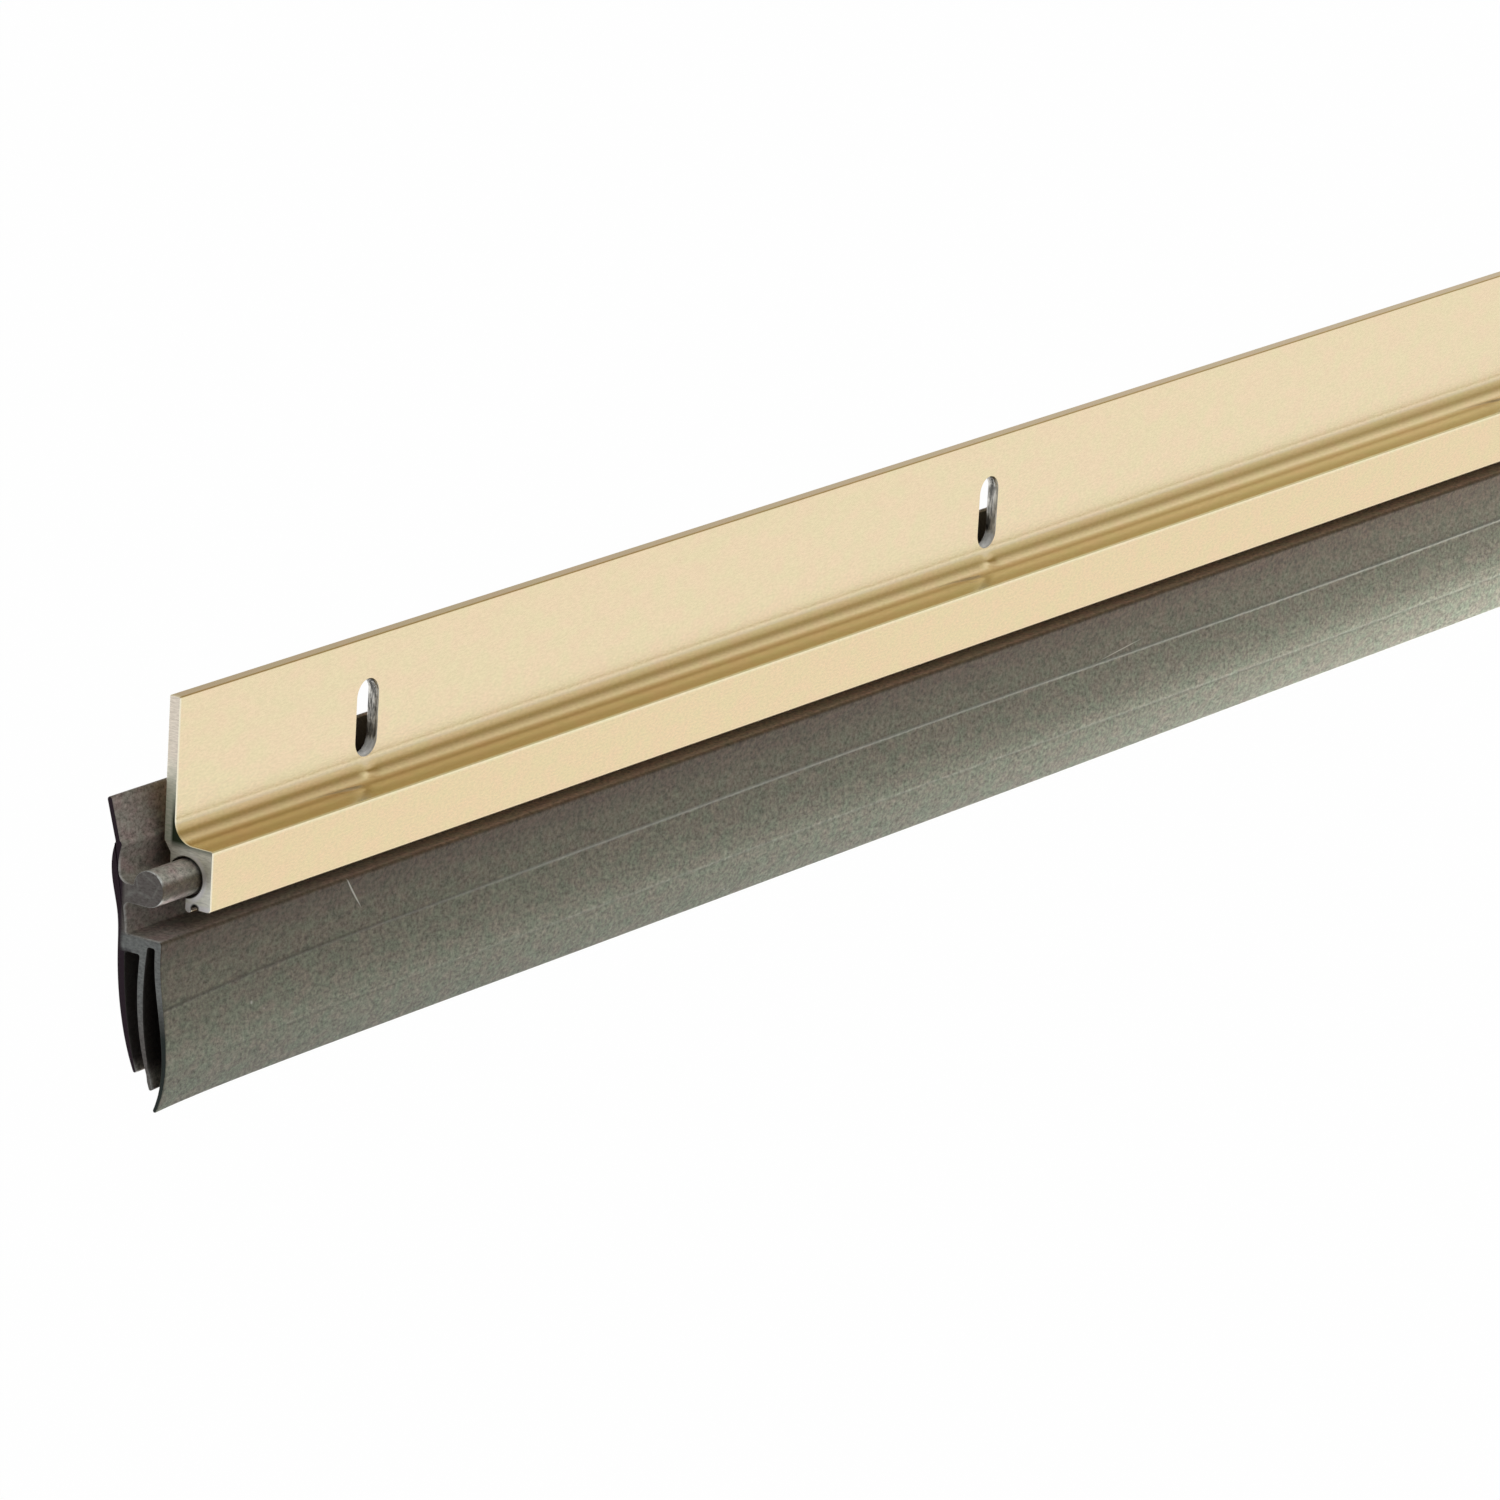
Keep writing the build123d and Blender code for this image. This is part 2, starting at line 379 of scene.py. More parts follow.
def rounded(corners):
    """A run of straight lines with round corners; each corner is (y, z, radius), and the ends stay sharp."""
    parts = [np.array([corners[0][:2]])]
    for before, here, after in zip(corners, corners[1:], corners[2:]):
        point = np.array(here[:2])
        back = np.array(before[:2]) - point
        ahead = np.array(after[:2]) - point
        back /= np.linalg.norm(back)
        ahead /= np.linalg.norm(ahead)
        half = np.arccos(np.clip(back @ ahead, -1, 1)) / 2
        middle = (back + ahead) / np.linalg.norm(back + ahead)
        centre = point + middle * here[2] / np.sin(half)
        first = point + back * here[2] / np.tan(half) - centre
        last = point + ahead * here[2] / np.tan(half) - centre
        parts.append(short_way(centre, here[2], first, last, WIDEST_TURN / 2))
    parts.append(np.array([corners[-1][:2]]))
    return np.concatenate(parts)


def slopes_at(knots, points):
    """Slopes of the smooth cubic curve through the points, whose second derivative has no jump."""
    near = min(4, len(points))
    first = np.polyfit(knots[:near] - knots[0], points[:near], near - 1)[-2]
    last = np.polyfit(knots[-near:] - knots[-1], points[-near:], near - 1)[-2]
    size = len(points)
    step = np.diff(knots)
    system = np.eye(size)
    wanted = np.zeros_like(points)
    wanted[0], wanted[-1] = first, last
    inner = np.arange(1, size - 1)
    system[inner, inner - 1] = 1 / step[:-1]
    system[inner, inner] = 2 * (1 / step[:-1] + 1 / step[1:])
    system[inner, inner + 1] = 1 / step[1:]
    rise = np.diff(points, axis=0) / step[:, None] ** 2
    wanted[inner] = 3 * (rise[:-1] + rise[1:])
    return np.linalg.solve(system, wanted)


def smooth_line(points):
    """The cubic curve through the points, by chord length, and its slopes at them."""
    points = np.array(points, float)
    chords = np.linalg.norm(np.diff(points, axis=0), axis=1)
    knots = np.concatenate([[0], np.cumsum(chords)])
    slopes = slopes_at(knots, points)
    at = np.linspace(0, knots[-1], int(knots[-1] / FINE_STEP) + 2)
    span = np.clip(np.searchsorted(knots, at, side="right") - 1, 0, len(points) - 2)
    width = (knots[span + 1] - knots[span])[:, None]
    t = (at - knots[span])[:, None] / width
    line = (
        (1 + 2 * t) * (1 - t) ** 2 * points[span]
        + t * (1 - t) ** 2 * width * slopes[span]
        + t**2 * (3 - 2 * t) * points[span + 1]
        + t**2 * (t - 1) * width * slopes[span + 1]
    )
    return line, slopes


def sheet(stations):
    """A curved sheet's two sides and round tip. Each station is (y, z, thickness); the sides are smooth lines
    through the points half a thickness from the middle line. Returns (+side, tip, -side), all root to tip."""
    stations = np.array(stations, float)
    _, slopes = smooth_line(stations[:, :2])
    along = slopes / np.linalg.norm(slopes, axis=1)[:, None]
    across = np.stack([-along[:, 1], along[:, 0]], axis=1) * stations[:, 2:] / 2
    plus, _ = smooth_line(stations[:, :2] + across)
    minus, _ = smooth_line(stations[:, :2] - across)
    end = np.degrees(np.arctan2(-across[-1, 1], -across[-1, 0]))
    tip = arc(stations[-1, :2], stations[-1, 2] / 2, end, end + 180, most=20)
    return plus, tip, minus


def fin_stations(root, thickness, drop, path):
    """Stations down a fin: (root y + back drop, root z - down drop), thinning with the square of down."""
    stations = [(*root, thickness)]
    for down, back in path:
        thinned = thickness - (thickness - FIN_TIP_THICKNESS) * down**2
        stations.append((root[0] + back * drop, root[1] - down * drop, thinned))
    return stations


def aside(line, distance):
    """The line moved sideways, towards the air on its right."""
    along = np.gradient(line, axis=0)
    along /= np.linalg.norm(along, axis=1)[:, None]
    return line + distance * np.stack([along[:, 1], -along[:, 0]], axis=1)


def crossing(first, second):
    """The first place where two lines of points cross: how far along each, as a point number and share."""
    p, r = first[:-1, None], np.diff(first, axis=0)[:, None]
    q, s = second[None, :-1], np.diff(second, axis=0)[None]
    gap = q - p
    cross = r[..., 0] * s[..., 1] - r[..., 1] * s[..., 0]
    cross = np.where(np.abs(cross) < 1e-12, np.nan, cross)
    t = (gap[..., 0] * s[..., 1] - gap[..., 1] * s[..., 0]) / cross
    u = (gap[..., 0] * r[..., 1] - gap[..., 1] * r[..., 0]) / cross
    hits = np.argwhere((t >= 0) & (t <= 1) & (u >= 0) & (u <= 1))
    if not len(hits):
        raise RuntimeError("two curves of a section don't cross")
    i, j = hits[0]
    return (i, t[i, j]), (j, u[i, j])


def point_at(line, place):
    """The point of a line at a point number and share."""
    number, share = place
    return line[number] + share * (line[number + 1] - line[number])


def meet(first, second, radius=0.0):
    """Trims two lines where they cross and rounds the corner between them, with the round in the air.
    Returns the first line up to the corner with the round added, and what is left of the second."""
    here, there = crossing(aside(first, radius), aside(second, radius))
    a, b = point_at(first, here), point_at(second, there)
    kept = np.concatenate([first[: here[0] + 1], a[None]])
    left = np.concatenate([b[None], second[there[0] + 1 :]])
    if radius:
        centre = point_at(aside(first, radius), here)
        kept = np.concatenate([kept[:-1], short_way(centre, radius, a - centre, b - centre, 15)])
    return kept, left


def chain(line, *steps):
    """Lines joined one after another by meet; each step is (next line, radius of the corner before it)."""
    parts = []
    for following, radius in steps:
        kept, line = meet(line, following, radius)
        parts.append(kept)
    return np.concatenate([*parts, line])


def level(z, start, stop):
    """A straight level line of points at height z."""
    count = max(2, int(abs(stop - start) / FINE_STEP))
    return np.stack([np.linspace(start, stop, count), np.full(count, z)], axis=1)


def distinct(points):
    """The points of a closed outline, without those that lie on the next one."""
    step = np.linalg.norm(np.diff(points, axis=0, append=points[:1]), axis=1)
    return points[step > SAME_PLACE]


def thinned_out(points):
    """Keeps as many of the points as the turns and lengths need, and of a straight run only its ends."""
    points = distinct(points)
    ahead = np.roll(points, -1, axis=0) - points
    step = np.linalg.norm(ahead, axis=1)
    angle = np.arctan2(ahead[:, 1], ahead[:, 0])
    turn = np.abs((np.diff(angle, prepend=angle[-1:]) + np.pi) % (2 * np.pi) - np.pi)
    cost = np.cumsum(step / LONGEST_STEP + np.degrees(turn) / WIDEST_TURN)
    picks = np.unique(np.searchsorted(cost, np.arange(0, cost[-1])))
    straight = (np.convolve(np.degrees(turn), np.ones(3), "same") < STRAIGHT_TURN)[picks]
    spare = np.flatnonzero(straight & np.roll(straight, -1) & np.roll(straight, 1))
    return np.delete(points[picks], spare, axis=0)


def supported(points):
    """Adds a point close to each end of every long straight run, so that light turns only at the corners."""
    ahead = np.roll(points, -1, axis=0)
    length = np.linalg.norm(ahead - points, axis=1)[:, None]
    along = (ahead - points) / length
    rows = np.stack([points, points + along * SUPPORT_GAP, ahead - along * SUPPORT_GAP], axis=1)
    keep = np.ones(rows.shape[:2], bool)
    keep[:, 1:] = length > 5 * SUPPORT_GAP
    return rows[keep]


def carrier_section():
    """The carrier: flange, cove, head, notch, round nose, bore, upper lip and back."""
    bore = np.array(BORE_CENTRE)
    nose_y = LOWER_LIP_END - LOWER_NOSE_RADIUS
    notch_y = nose_y - LOWER_NOSE_RADIUS - NOTCH_RADIUS
    shell = rounded([
        (0.0, 0.0, 0.0),
        (0.0, FLANGE_TOP, EDGE_ROUND),
        (FLANGE_FRONT, FLANGE_TOP, EDGE_ROUND),
        (FLANGE_FRONT, HEAD_TOP, COVE_RADIUS),
        (HEAD_FRONT, HEAD_TOP, EDGE_ROUND),
        (HEAD_FRONT, HEAD_BOTTOM, FRONT_NOSE_RADIUS),
        (notch_y - NOTCH_RADIUS, HEAD_BOTTOM, 0.0),
    ])
    notch = arc((notch_y, HEAD_BOTTOM), NOTCH_RADIUS, 180, 0)
    nose = arc((nose_y, HEAD_BOTTOM), LOWER_NOSE_RADIUS, 180, 360)
    low = np.arccos((LOWER_LIP_END - bore[0]) / BORE_RADIUS)
    high = np.arcsin((UPPER_LIP_BOTTOM - bore[1]) / BORE_RADIUS)
    channel = arc(bore, BORE_RADIUS, 360 - np.degrees(low), np.degrees(high), most=5)
    lip = rounded([
        (channel[-1, 0], UPPER_LIP_BOTTOM, 0.0),
        (-UPPER_LIP_STEP, UPPER_LIP_BOTTOM, EDGE_ROUND),
        (-UPPER_LIP_STEP, HEAD_TOP - UPPER_LIP_SLOPE, EDGE_ROUND),
        (0.0, HEAD_TOP, EDGE_ROUND),
        (0.0, 0.0, 0.0),
    ])
    return supported(distinct(np.concatenate([shell, notch[1:], nose[1:], channel, lip[1:-1]])))


def ribbed(points):
    """Adds points down the front fin's face, RIB_STEP apart, where its rib and its groove run."""
    ahead = np.roll(points, -1, axis=0)
    on_face = (points[:, 0] < FACE_BACK) & (ahead[:, 0] < FACE_BACK)
    faces_front = on_face & (ahead[:, 1] < points[:, 1] - 0.05)
    rows = []
    for z in (RIB_HEIGHT, RIB_HEIGHT - RIB_TO_GROOVE):
        rows.append(np.arange(z - RIB_SAG - RIB_SWAY - 0.35, z + RIB_SWAY + 0.45, RIB_STEP))
    wanted = np.concatenate(rows)
    number = np.flatnonzero(faces_front)
    descending = -points[number, 1]
    span = number[np.clip(np.searchsorted(descending, -wanted) - 1, 0, len(number) - 1)]
    share = (points[span, 1] - wanted) / (points[span, 1] - ahead[span, 1])
    inside = (share > 0.05) & (share < 0.95)
    span, share = span[inside], share[inside, None]
    extra = points[span] + share * (ahead[span] - points[span])
    place = np.concatenate([np.arange(len(points)), span + share[:, 0]])
    return np.concatenate([points, extra])[np.argsort(place, kind="stable")]


def seal_section():
    """The seal: flap, kink, spine, neck, bead, shelf, three fins and back."""
    flap_front, flap_tip, flap_back = sheet(FLAP)
    stations = SPINE + fin_stations(SPINE_FOOT, SPINE_THICKNESS, REAR_FIN_DROP, REAR_FIN_PATH)
    spine_back, rear_tip, spine_front = sheet(stations)
    front_inner, front_tip, front_outer = sheet(
        fin_stations(FRONT_FIN_ROOT, FRONT_FIN_THICKNESS, FRONT_FIN_DROP, FRONT_FIN_PATH)
    )
    middle_back, middle_tip, middle_front = sheet(
        fin_stations(MIDDLE_FIN_ROOT, MIDDLE_FIN_THICKNESS, MIDDLE_FIN_DROP, MIDDLE_FIN_PATH)
    )
    knee = SPINE_THICKNESS / 2
    points = np.concatenate([
        chain(flap_front[::-1], (arc(KINK, knee, 100, 186, most=4), 0.0)),
        chain(
            spine_front,
            (level(NECK_TOP, 3, -3), UPPER_NECK_FILLET),
            (arc(BEAD_CENTRE, BEAD_RADIUS, 0.2, 270, most=2), ROOT_FILLET),
        ),
        chain(
            level(NECK_BOTTOM, BEAD_CENTRE[0], 3),
            (spine_front, LOWER_NECK_FILLET),
            (level(SHELF_TOP, 3, FRONT_FIN_ROOT[0]), ROOT_FILLET),
        ),
        arc(FRONT_FIN_ROOT, FRONT_FIN_THICKNESS / 2, 90, 178),
        front_outer,
        front_tip,
        chain(
            front_inner[::-1],
            (arc(INNER_BEAD, INNER_BEAD_RADIUS, -120, 120, most=6), 0.0),
            (front_inner[::-1], 0.0),
            (level(SHELF_FRONT_BOTTOM, -7, 0), ROOT_FILLET),
            (middle_front, ROOT_FILLET),
        ),
        middle_tip,
        chain(middle_back[::-1], (level(SHELF_REAR_BOTTOM, -5, 3), ROOT_FILLET), (spine_front, ROOT_FILLET)),
        rear_tip,
        spine_back[::-1],
        chain(arc(KINK, knee, -2, 85, most=4), (flap_back, 0.0)),
        flap_tip,
    ])
    return ribbed(supported(thinned_out(points)))


def placed(name, data):
    """A new object with this data, in the scene."""
    thing = bpy.data.objects.new(name, data)
    bpy.context.scene.collection.objects.link(thing)
    return thing


def carried(name, section, stations, bend, materials):
    """A closed mesh of a section carried along X: place (x, y, z) = (x of the station, bend(x, section)).

    bend gives, for arrays of x and of the section's points, the (y, z) points of the whole grid in
    millimetres. The long faces take material 0 and the two ends material 1. The map called strip holds
    metres along the strip and metres round the section.
    """
    x, across = np.meshgrid(stations, np.arange(len(section)), indexing="ij")
    y, z = bend(x, section[across, 0], section[across, 1], across)
    places = np.stack([x, y, z], axis=-1).reshape(-1, 3) * MM
    rows, wide = len(stations), len(section)
    row = np.arange(rows - 1)[:, None] * wide
    here = np.arange(wide)[None]
    there = (here + 1) % wide
    quads = np.stack([row + here, row + there, row + wide + there, row + wide + here], axis=-1).reshape(-1, 4)
    near_end = np.arange(wide)[::-1]
    far_end = np.arange(wide) + (rows - 1) * wide
    mesh = bpy.data.meshes.new(name)
    mesh.from_pydata(places.tolist(), [], quads.tolist() + [near_end.tolist(), far_end.tolist()])
    for material in materials:
        mesh.materials.append(material)
    slots = np.zeros(len(quads) + 2, np.int32)
    slots[-2:] = 1
    mesh.polygons.foreach_set("material_index", slots)
    step = np.linalg.norm(np.diff(section, axis=0, append=section[:1]), axis=1)
    around = np.concatenate([[0], np.cumsum(step)]) * MM
    u = np.stack([x[:-1], x[:-1], x[1:], x[1:]], axis=-1) * MM
    v = np.stack([around[:-1], around[1:], around[1:], around[:-1]], axis=-1)
    v = np.broadcast_to(v, u.shape)
    sides = np.stack([u, v], axis=-1).reshape(-1, 2)
    ends = places[np.concatenate([near_end, far_end])][:, 1:]
    strip = mesh.uv_layers.new(name="strip")
    strip.data.foreach_set("uv", np.concatenate([sides, ends]).astype(np.float32).ravel())
    mesh.update()
    mesh.set_sharp_from_angle(angle=SHARP_ANGLE)
    return placed(name, mesh)


def inward(section):
    """For each point of a section, the direction into the material, square to the outline."""
    along = np.roll(section, -1, axis=0) - np.roll(section, 1, axis=0)
    along /= np.linalg.norm(along, axis=1)[:, None]
    return np.stack([-along[:, 1], along[:, 0]], axis=1)


def slot_cutter(width, height, places, materials):
    """Stadium-shaped cutters, one for each slot: each ring is the stadium (|z| up to half the straight part,
    then a half circle) grown by an amount that widens at both faces of the flange, which softens the rims."""
    depth, grown = np.array(SLOT_WALL).T
    angle = np.radians(np.arange(0, 360, SLOT_TURN) + SLOT_TURN / 2)
    radius = width / 2 + grown[:, None]
    x = radius * np.cos(angle)
    z = radius * np.sin(angle) + np.sign(np.sin(angle)) * (height - width) / 2
    y = np.broadcast_to(depth[:, None], x.shape)
    ring = np.stack([x, y, z], axis=-1)
    places = np.array(places)
    grid = ring[None] + np.stack([places, 0 * places, 0 * places], axis=-1)[:, None, None]
    count, rows, wide = grid.shape[:3]
    start = (np.arange(count) * rows * wide)[:, None, None]
    row = (np.arange(rows - 1) * wide)[None, :, None]
    here = np.arange(wide)[None, None]
    there = (here + 1) % wide
    corners = [row + here, row + wide + here, row + wide + there, row + there]
    quads = np.stack([start + corner for corner in corners], axis=-1).reshape(-1, 4)
    lids = np.concatenate([
        start[:, 0] + np.arange(wide)[None],
        start[:, 0] + ((rows - 1) * wide + np.arange(wide)[::-1])[None],
    ])
    mesh = bpy.data.meshes.new("slot_cutter")
    mesh.from_pydata((grid.reshape(-1, 3) * MM).tolist(), [], quads.tolist() + lids.tolist())
    for material in materials:
        mesh.materials.append(material)
    mesh.polygons.foreach_set("material_index", np.full(len(quads) + len(lids), 2, np.int32))
    mesh.update()
    return placed("slot_cutter", mesh)


def cut_away(piece, cutter):
    """Takes the cutter out of the piece and deletes it."""
    change = piece.modifiers.new("slots", "BOOLEAN")
    change.operation = "DIFFERENCE"
    change.solver = "EXACT"
    change.object = cutter
    bpy.context.view_layer.update()
    graph = bpy.context.evaluated_depsgraph_get()
    old = piece.data
    cut = bpy.data.meshes.new_from_object(piece.evaluated_get(graph))
    piece.modifiers.clear()
    piece.data = cut
    cut.name = old.name
    bpy.data.meshes.remove(old)
    bpy.data.objects.remove(cutter)
    cut.set_sharp_from_angle(angle=SHARP_ANGLE)


class Nodes:
    """A short way to lay out a material's nodes."""

    def __init__(self, tree):
        self.tree = tree
        tree.nodes.clear()

    def add(self, kind, inputs=None, **settings):
        """A node with its settings and inputs; an input is a value or another node's output."""
        node = self.tree.nodes.new(kind)
        for name, value in settings.items():
            setattr(node, name, value)
        for name, value in (inputs or {}).items():
            if isinstance(value, bpy.types.NodeSocket):
                self.tree.links.new(value, node.inputs[name])
            else:
                node.inputs[name].default_value = value
        return node

    def math(self, operation, first, *others):
        """Arithmetic on one number, or on several, each in turn with the result so far."""
        if not others:
            return self.add("ShaderNodeMath", {0: first}, operation=operation).outputs[0]
        for other in others:
            first = self.add("ShaderNodeMath", {0: first, 1: other}, operation=operation).outputs[0]
        return first

    def place(self):
        """The object's own coordinates, in metres."""
        return self.add("ShaderNodeTexCoord").outputs["Object"]

    def parts(self):
        """The object's own X, Y and Z, in metres."""
        return self.add("ShaderNodeSeparateXYZ", {0: self.place()}).outputs

    def noise(self, scale, detail, rough=0.5):
        """Noise from 0 to 1 on stretched object coordinates."""
        place = self.add("ShaderNodeMapping", {"Vector": self.place(), "Scale": scale}).outputs["Vector"]
        inputs = {"Vector": place, "Scale": 1.0, "Detail": detail, "Roughness": rough}
        return self.add("ShaderNodeTexNoise", inputs).outputs[0]

    def between(self, value, low, high, out_low=0.0, out_high=1.0):
        """Carries value from one range to another."""
        inputs = {"Value": value, "From Min": low, "From Max": high, "To Min": out_low, "To Max": out_high}
        return self.add("ShaderNodeMapRange", inputs).outputs["Result"]

    def rises(self, value, low, high, least=0.0):
        """From least below low to 1 above high; low and high are in millimetres."""
        return self.between(value, low * MM, high * MM, least, 1.0)

    def falls(self, value, low, high, most=1.0, least=0.0):
        """From most below low to least above high; low and high are in millimetres."""
        return self.between(value, low * MM, high * MM, most, least)

    def near_cut(self, end, reach):
        """1 at both cut ends of a strip that reaches from -end to end, and 0 at reach away from them."""
        return self.rises(self.math("ABSOLUTE", self.parts()[0]), end - reach, end)

    def distance(self, centre):
        """How far a place is from the line along the strip through a (y, z) centre in millimetres."""
        flat = self.add("ShaderNodeVectorMath", {0: self.place(), 1: (0.0, 1.0, 1.0)}, operation="MULTIPLY")
        centre = (0.0, centre[0] * MM, centre[1] * MM)
        gap = self.add("ShaderNodeVectorMath", {0: flat.outputs[0], 1: centre}, operation="DISTANCE")
        return gap.outputs["Value"]

    def marks(self, rows, axis, middle, depth, solid):
        """The strongest of several soft marks, each 1 inside an ellipsoid and 0 outside it. A row is a
        centre, a turn in degrees and a reach, all in the plane square to an axis, where 0 is X and 1 is Y.
        Along that axis every mark has the place middle and the reach depth. It fades beyond a solid share."""
        strongest = 0.0
        for centre, turn, reach in rows:
            inputs = {
                "Vector": self.place(),
                "Location": tuple(np.insert(centre, axis, middle) * MM),
                "Rotation": tuple(np.insert([0.0, 0.0], axis, np.radians(turn))),
                "Scale": tuple(np.insert(reach, axis, depth) * MM),
            }
            own = self.add("ShaderNodeMapping", inputs, vector_type="TEXTURE").outputs["Vector"]
            far = self.add("ShaderNodeVectorMath", {0: own}, operation="LENGTH").outputs["Value"]
            strongest = self.math("MAXIMUM", self.between(far, solid, 1.0, 1.0, 0.0), strongest)
        return strongest

    def ramp(self, share, stops):
        """Colours along a share of the way: each stop is (place from 0 to 1, colour)."""
        ramp = self.add("ShaderNodeValToRGB", {"Fac": share})
        elements = ramp.color_ramp.elements
        for number, (place, colour) in enumerate(stops):
            stop = elements[number] if number < 2 else elements.new(0.999)
            stop.position = place
            stop.color = (*colour, 1.0)
        return ramp.outputs[0]

    def mix(self, share, first, second, blend="MIX"):
        """A colour between two colours; each is (red, green, blue) or another node's output."""
        inputs = {0: share}
        for number, value in ((6, first), (7, second)):
            inputs[number] = value if isinstance(value, bpy.types.NodeSocket) else (*value, 1.0)
        return self.add("ShaderNodeMix", inputs, data_type="RGBA", blend_type=blend).outputs[2]

    def tinted(self, colour, tint, share=1.0):
        """A colour multiplied by another, as far as share says."""
        return self.mix(share, colour, tint, "MULTIPLY")


def new_material(name):
    """An empty material and its node layout."""
    material = bpy.data.materials.new(name)
    material.use_nodes = True
    return material, Nodes(material.node_tree)


def finish_material(nodes, colour, relief, strength, depth, inputs):
    """Ends a material with one shader: its colour, a bump from relief that is depth millimetres deep, and its
    other inputs."""
    bump = nodes.add("ShaderNodeBump", {"Height": relief, "Strength": strength, "Distance": depth * MM})
    inputs = {"Base Color": colour, "Normal": bump.outputs[0], **inputs}
    shader = nodes.add("ShaderNodeBsdfPrincipled", inputs)
    nodes.add("ShaderNodeOutputMaterial", {"Surface": shader.outputs[0]})


def shade(colour, factor):
    """A colour made lighter or darker."""
    return tuple(channel * factor for channel in colour)


def gold_anodised(settings, end):
    """Satin gold anodising: a fine grain drawn out along the strip, over a soft mottle of two golds. It also
    carries painted light: a painted reflection that makes the ledge paler, painted shade below the ledge, on
    the flange's top edge and inside the bore and the notch, and a pale band at the cut ends that is partly
    real burr and partly a painted highlight."""
    material, nodes = new_material("gold_anodised")
    grain = nodes.noise((1500, 4200, 4200), 3)
    mottle = nodes.between(nodes.noise((260, 420, 420), 3), 0.35, 0.65)
    tone = nodes.between(grain, 0.3, 0.7)
    colour = nodes.mix(tone, shade(settings.gold, 0.95), shade(settings.gold, 1.05))
    colour = nodes.tinted(colour, nodes.mix(mottle, REDDER_GOLD_TINT, GREENER_GOLD_TINT))
    _, y, z = nodes.parts()
    # Painted shade: the head's front face below the ledge is made a shade deeper, as it mirrors less light.
    below = nodes.falls(z, HEAD_TOP - 0.6, HEAD_TOP - 0.1)
    colour = nodes.tinted(colour, HEAD_PAINTED_SHADE_TINT, below)
    # Painted reflection: the ledge is made paler and less saturated, as its mirrored light would look.
    low = nodes.falls(z, HEAD_TOP + 0.1, HEAD_TOP + 0.4)
    forward = nodes.falls(y, LEDGE_BACK - 0.2, LEDGE_BACK + 0.8)
    ledge = nodes.math("MULTIPLY", forward, low, nodes.math("SUBTRACT", 1.0, below))
    colour = nodes.tinted(colour, LEDGE_PAINTED_REFLECTION_TINT, ledge)
    # Painted shade: the flange's rounded top edge is darkened, where it mirrors the dim room behind.
    top = nodes.rises(z, FLANGE_TOP - 0.15, FLANGE_TOP - 0.05)
    colour = nodes.tinted(colour, TOP_EDGE_PAINTED_SHADE_TINT, top)
    # A pale band at the cut ends: partly real burr, partly a painted highlight of the rounded cut edge.
    colour = nodes.mix(nodes.near_cut(end, 0.3), colour, GOLD_BURR_AND_HIGHLIGHT)
    # Painted shade: near black inside the bore and the notch, where little light reaches.
    inside = nodes.falls(nodes.distance(BORE_CENTRE), BORE_RADIUS + 0.05, BORE_RADIUS + 0.15)
    notch = nodes.falls(nodes.distance(NOTCH_CENTRE), 0.5, 0.6)
    colour = nodes.mix(nodes.math("MAXIMUM", inside, notch), colour, CHANNEL_PAINTED_SHADE)
    inputs = {"Metallic": 1.0, "Roughness": settings.gold_roughness}
    finish_material(nodes, colour, grain, 0.15, 0.04, inputs)
    return material


def sawn_aluminium(settings):
    """The carrier's sawn ends: grey metal with fine saw marks, dull green towards the flange's foot and dark
    on the foot's front, a painted highlight along the bore's rim and the two rounded noses, and a painted
    shadow round the bore's edge and in the notch."""
    material, nodes = new_material("sawn_aluminium")
    marks = nodes.noise((700, 900, 5200), 4, 0.6)
    tone = nodes.between(marks, 0.3, 0.7)
    colour = nodes.mix(tone, shade(settings.bare, 0.78), shade(settings.bare, 1.2))
    _, y, z = nodes.parts()
    above_head = nodes.rises(z, HEAD_TOP - 0.8, HEAD_TOP + 0.2)
    foot = nodes.math("MULTIPLY", nodes.falls(z, -2.5, 3.0), above_head, 0.8)
    flange = nodes.mix(foot, nodes.tinted(colour, SAWN_FLANGE_TINT), nodes.mix(tone, *SAWN_GREENS))
    colour = nodes.mix(above_head, nodes.tinted(colour, SAWN_HEAD_TINT), flange)
    inner = nodes.math("MULTIPLY", nodes.falls(z, -5.0, -1.5), above_head, nodes.falls(y, -1.3, -0.9))
    colour = nodes.mix(inner, colour, FOOT_DARK)
    # Painted highlight: near white along the bore's rim and on the noses, as if they caught the light.
    from_bore = nodes.distance(BORE_CENTRE)
    rim = nodes.falls(from_bore, BORE_RADIUS + 0.45, BORE_RADIUS + 0.9)
    rim = nodes.math("MULTIPLY", rim, nodes.falls(y, -5.0, -3.6))
    nose = nodes.falls(z, HEAD_BOTTOM + 0.5, HEAD_BOTTOM + 0.9)
    colour = nodes.mix(nodes.math("MAXIMUM", rim, nose), colour, RIM_PAINTED_HIGHLIGHT)
    # Painted shadow: near black round the bore's edge and in the notch.
    shadow = nodes.falls(from_bore, BORE_RADIUS + 0.06, BORE_RADIUS + 0.22)
    notch = nodes.falls(nodes.distance(NOTCH_CENTRE), 0.5, 0.75)
    colour = nodes.mix(nodes.math("MAXIMUM", shadow, notch), colour, BORE_PAINTED_SHADOW)
    finish_material(nodes, colour, marks, 0.35, 0.08, {"Metallic": 1.0, "Roughness": 0.42})
    return material


